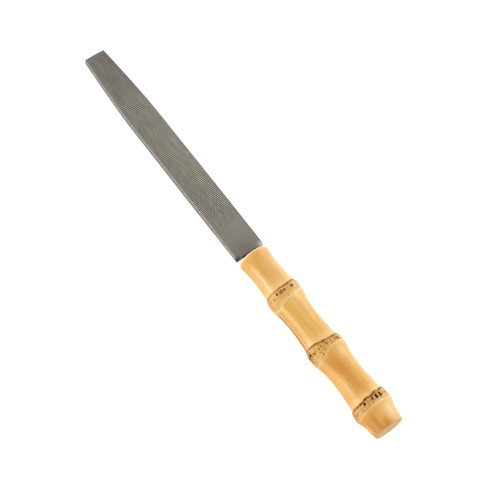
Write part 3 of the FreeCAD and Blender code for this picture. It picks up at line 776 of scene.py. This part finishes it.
    # brown bloom of rust at the left shoulder corner and over the end of the heel
    left = m.span(y, 4.5, 6.3)
    heel = m.span(x, 0.2, 1.8, 1.0, 0.0)
    rust_noise = m.noise(m.scale(p, (1.3, 1.3, 1.3)), 1.0, 4.0, 0.7)
    rust = m.math("MULTIPLY", m.math("MULTIPLY", left, heel), m.span(rust_noise, 0.25, 0.5), clamp=True)
    end = m.span(x, 0.0, -0.02)
    rust = m.math("MAXIMUM", rust, m.math("MULTIPLY", end, m.span(rust_noise, 0.3, 0.6, 0.55, 1.0)))
    colour = m.mix(rust, colour, (0.085, 0.036, 0.013, 1))
    # the other shoulder corner is rubbed bright, and a painted glint brightens it further
    glint = m.math("MULTIPLY", m.span(y, -4.3, -6.1), m.span(x, 2.1, 0.4))
    glint = m.math("MULTIPLY", glint, m.math("MULTIPLY", m.span(x, -0.02, 0.02), m.span(y, -7.05, -6.8, 0.6, 1.0)))
    colour = m.mix(m.math("MULTIPLY", glint, m.span(fleck, 0.3, 0.6, 0.55, 1.0)), colour, (0.74, 0.69, 0.64, 1))
    m.set(Base_Color=colour, Metallic=1.0)
    m.set(Roughness=m.math("ADD", m.span(fleck, 0.3, 0.75, 0.32, 0.46), m.math("MULTIPLY", rust, 0.35)))
    height = m.math("ADD", m.math("MULTIPLY", brushed, 0.5), m.math("MULTIPLY", fleck, 0.6))
    m.set(Normal=m.bump(height, 0.00002, 0.6))
    return m.mat


def bamboo():
    m = Nodes("bamboo_lacquer")
    p = m.attribute("tool")
    tone, band, line = m.split(m.attribute("mask_a"))
    pit, channel, border = m.split(m.attribute("mask_b"))
    speck, crease, face = m.split(m.attribute("mask_c"))
    shade, left_flank_shade_and_matt, matt = m.split(m.attribute("mask_d"))
    fibre = m.noise(m.scale(p, (0.045, 1.5, 1.5)), 1.0, 4.0, 0.62)
    streak = m.noise(m.scale(p, (0.025, 0.42, 0.42)), 1.0, 3.0, 0.5)
    mottle = m.noise(m.scale(p, (0.22, 0.5, 0.5)), 1.0, 3.0, 0.55)
    t = m.math("ADD", tone, m.math("MULTIPLY", m.math("SUBTRACT", streak, 0.5), 0.42))
    t = m.math("ADD", t, m.math("MULTIPLY", m.math("SUBTRACT", fibre, 0.5), 0.22))
    t = m.math("ADD", t, m.math("MULTIPLY", m.math("SUBTRACT", mottle, 0.5), 0.22))
    base = m.ramp(t, [
        (0.0, (0.90, 0.66, 0.32, 1)),
        (0.25, (0.86, 0.54, 0.167, 1)),
        (0.5, (0.80, 0.43, 0.079, 1)),
        (0.75, (0.715, 0.325, 0.042, 1)),
        (1.0, (0.62, 0.245, 0.024, 1)),
    ])
    # root-scar band: paler and olive, grained
    grain = m.noise(m.scale(p, (1.3, 1.6, 1.6)), 1.0, 4.0, 0.7)
    band_c = m.mix(m.span(grain, 0.3, 0.7), (0.61, 0.325, 0.052, 1), (0.82, 0.53, 0.155, 1))
    colour = m.mix(m.math("MULTIPLY", band, 0.8), base, band_c)
    # creases and bud grooves
    colour = m.mix(m.math("MULTIPLY", crease, 0.55), colour, (0.52, 0.225, 0.028, 1))
    colour = m.mix(m.math("MULTIPLY", border, 0.78, clamp=True), colour, (0.44, 0.165, 0.032, 1))
    colour = m.mix(m.math("MULTIPLY", channel, 0.85), colour, (0.87, 0.66, 0.30, 1))
    # painted shade: the shade field and the left flank darken the colour
    colour = m.mix(1.0, colour, m.mix(shade, (1, 1, 1, 1), (0.55, 0.38, 0.20, 1)), "MULTIPLY")
    colour = m.mix(1.0, colour, m.mix(left_flank_shade_and_matt, (1, 1, 1, 1), (0.88, 0.825, 0.86, 1)), "MULTIPLY")
    # scar line and root pits: warm brown first, nearly black only at the heart
    burnt = m.noise(m.scale(p, (0.9, 0.9, 0.9)), 1.0, 3.0, 0.6)
    colour = m.mix(m.span(line, 0.10, 0.78, 0.0, 0.98), colour, m.mix(m.span(burnt, 0.4, 0.6), (0.350, 0.088, 0.004, 1), (0.225, 0.046, 0.003, 1)))
    mark = m.math("MAXIMUM", m.math("MULTIPLY", pit, 1.25), m.math("MULTIPLY", speck, 0.8), clamp=True)
    stain = m.mix(m.span(mark, 0.04, 0.75), (1, 1, 1, 1), (0.45, 0.225, 0.105, 1))
    colour = m.mix(1.0, colour, stain, "MULTIPLY")
    char = m.math("MAXIMUM", m.span(pit, 0.50, 0.92), m.math("MULTIPLY", m.span(line, 0.90, 1.25), m.span(burnt, 0.42, 0.60, 0.2, 0.95)))
    colour = m.mix(char, colour, (0.034, 0.010, 0.008, 1))
    worn = m.math("MAXIMUM", mark, line, clamp=True)
    # cut ends: bare pale fibre; the cream at the front rim also carries a painted highlight
    x_at = m.split(p)[0]
    end_fibre = m.noise(m.scale(p, (1.0, 0.45, 1.9)), 1.0, 4.0, 0.65)
    bundles = m.voronoi(m.scale(p, (0.2, 1.0, 1.0)), 1.9)
    end_c = m.mix(m.span(end_fibre, 0.3, 0.7), (0.43, 0.252, 0.084, 1), (0.82, 0.565, 0.262, 1))
    end_c = m.mix(m.span(bundles, 0.05, 0.22, 0.5, 0.0), end_c, (0.34, 0.19, 0.06, 1))
    edge_c = m.mix(m.span(x_at, -60.0, -90.0), (0.96, 0.84, 0.50, 1), (0.60, 0.30, 0.055, 1))
    rim_fibre_and_highlight = m.mix(m.span(face, 0.1, 0.9), colour, edge_c)
    colour = m.mix(m.span(face, 1.2, 1.8), rim_fibre_and_highlight, end_c)
    m.set(Base_Color=colour)
    m.set(Roughness=m.span(grain, 0.25, 0.75, 0.34, 0.52))
    m.set(Specular_IOR_Level=m.math("MULTIPLY", m.span(worn, 0.0, 0.8, 0.35, 0.08), m.math("MULTIPLY", m.span(left_flank_shade_and_matt, 0.0, 1.0, 1.0, 0.4), m.span(face, 1.0, 1.5, 1.0, 0.1))))
    m.set(Coat_Weight=m.math("MULTIPLY", m.span(worn, 0.0, 0.8, 0.85, 0.06), m.math("MULTIPLY", m.span(left_flank_shade_and_matt, 0.0, 1.0, 1.0, 0.15), m.math("MULTIPLY", m.math("MULTIPLY", m.span(matt, 0.0, 1.0, 1.0, 0.0), m.math("MULTIPLY", m.span(crease, 0.0, 0.6, 1.0, 0.15), m.span(band, 0.2, 1.0, 1.0, 0.6))), m.span(face, 1.0, 1.5, 1.0, 0.0)))), Coat_IOR=m.math("MINIMUM", m.span(x_at, -25.0, -19.0, 1.5, 1.86), m.span(x_at, -11.0, -5.0, 1.86, 1.5)))
    m.set(Coat_Roughness=m.math("MAXIMUM", m.math("MAXIMUM", m.span(x_at, -24.0, -20.0, 0.30, 0.29), m.span(x_at, -9.0, -5.0, 0.29, 0.38)), m.span(x_at, -90.0, -86.0, 0.36, 0.29)))
    h = m.math("ADD", m.math("MULTIPLY", fibre, 0.30), m.math("MULTIPLY", m.math("MULTIPLY", grain, band), 1.2))
    m.set(Normal=m.bump(h, 0.00006, 0.5))
    return m.mat


def resin():
    m = Nodes("brown_resin")
    tc = m.t.nodes.new("ShaderNodeTexCoord").outputs["Object"]
    a = m.noise(m.scale(tc, (700, 700, 700)), 1.0, 3.0, 0.6)
    colour = m.mix(m.span(a, 0.3, 0.7), (0.06, 0.024, 0.009, 1), (0.17, 0.075, 0.026, 1))
    m.set(Base_Color=colour, Roughness=m.span(a, 0.3, 0.7, 0.30, 0.5))
    m.set(Normal=m.bump(a, 0.00006, 0.5))
    return m.mat


def floor_paper():
    m = Nodes("pale_floor")
    m.bsdf.inputs["Base Color"].default_value = (0.56, 0.565, 0.58, 1)
    m.bsdf.inputs["Roughness"].default_value = 0.9
    m.bsdf.inputs["Specular IOR Level"].default_value = 0.1
    m.bsdf.inputs["Emission Color"].default_value = (1, 1, 1, 1)
    m.bsdf.inputs["Emission Strength"].default_value = 0.70
    return m.mat


# ---------------------------------------------------------------- assemble
blade = build_blade()
blade.data.materials.append(steel())
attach(blade, "root")
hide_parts("file_blade")

handle = build_handle()
handle.data.materials.append(bamboo())
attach(handle, "root")
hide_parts("bamboo_handle")

glue = frame["nodes"]["tang_adhesive"]
glue.data.materials.clear()
glue.data.materials.append(resin())

# ---------------------------------------------------------------- floor, light, camera
bpy.ops.mesh.primitive_plane_add(size=12, location=(0, 0, 0))
floor = bpy.context.object
floor.name = "floor"
floor.data.materials.append(floor_paper())

world = bpy.data.worlds.new("studio")
bpy.context.scene.world = world
world.use_nodes = True
bg = world.node_tree.nodes["Background"]
bg.inputs[0].default_value = (1.0, 0.99, 0.975, 1)
bg.inputs[1].default_value = 0.66


def softbox(name, direction, distance, size, radiance, colour=(1, 1, 1)):
    d = Vector(direction).normalized()
    data = bpy.data.lights.new(name, "AREA")
    data.shape = "RECTANGLE"
    data.size, data.size_y = size
    data.energy = radiance * math.pi * size[0] * size[1]
    data.color = colour
    ob = bpy.data.objects.new(name, data)
    ob.location = d * distance
    z = d
    x = Vector((1, 0, 0)) - d * d.x
    x.normalize()
    y = z.cross(x)
    ob.rotation_euler = Matrix((x, y, z)).transposed().to_euler()
    bpy.context.scene.collection.objects.link(ob)
    return ob


softbox("key_left", (0.30, 0.87, 0.22), 0.86, (1.2, 0.50), 0.18, (1.0, 0.985, 0.965))
softbox("key_core", (0.30, 0.87, 0.27), 0.82, (0.9, 0.20), 4.9, (1.0, 0.98, 0.96))
softbox("wide_right", (0.05, -0.95, 0.20), 1.0, (1.5, 0.36), 1.2, (1.0, 0.985, 0.97))
softbox("shoulder_right", (-0.22, -0.80, 0.55), 0.95, (0.5, 0.45), 2.55, (1.0, 0.985, 0.97))
softbox("top_right", (0.10, -0.62, 0.78), 1.0, (1.5, 0.9), 0.36, (1.0, 0.985, 0.97))

cam_data = bpy.data.cameras.new("camera")
cam_data.sensor_width = 36.0
cam_data.lens = 85.69
cam = bpy.data.objects.new("camera", cam_data)
elev, azim, roll = (math.radians(v) for v in (64.1215, 233.5464, -0.9562))
back = Vector((math.sin(azim) * math.cos(elev), -math.cos(azim) * math.cos(elev), math.sin(elev)))
right = Vector((math.cos(azim), math.sin(azim), 0))
down = (-back).cross(right)
rr = right * math.cos(roll) + down * math.sin(roll)
dd = -right * math.sin(roll) + down * math.cos(roll)
local = Matrix((rr, -dd, back)).transposed().to_4x4()
local.translation = Vector((-0.166577, 0.128448, 0.446024))
cam.matrix_world = tool @ local
bpy.context.scene.collection.objects.link(cam)
bpy.context.scene.camera = cam
cam_data.clip_start, cam_data.clip_end = 0.01, 50

bpy.context.scene.view_settings.view_transform = "Standard"
bpy.context.scene.view_settings.look = "None"
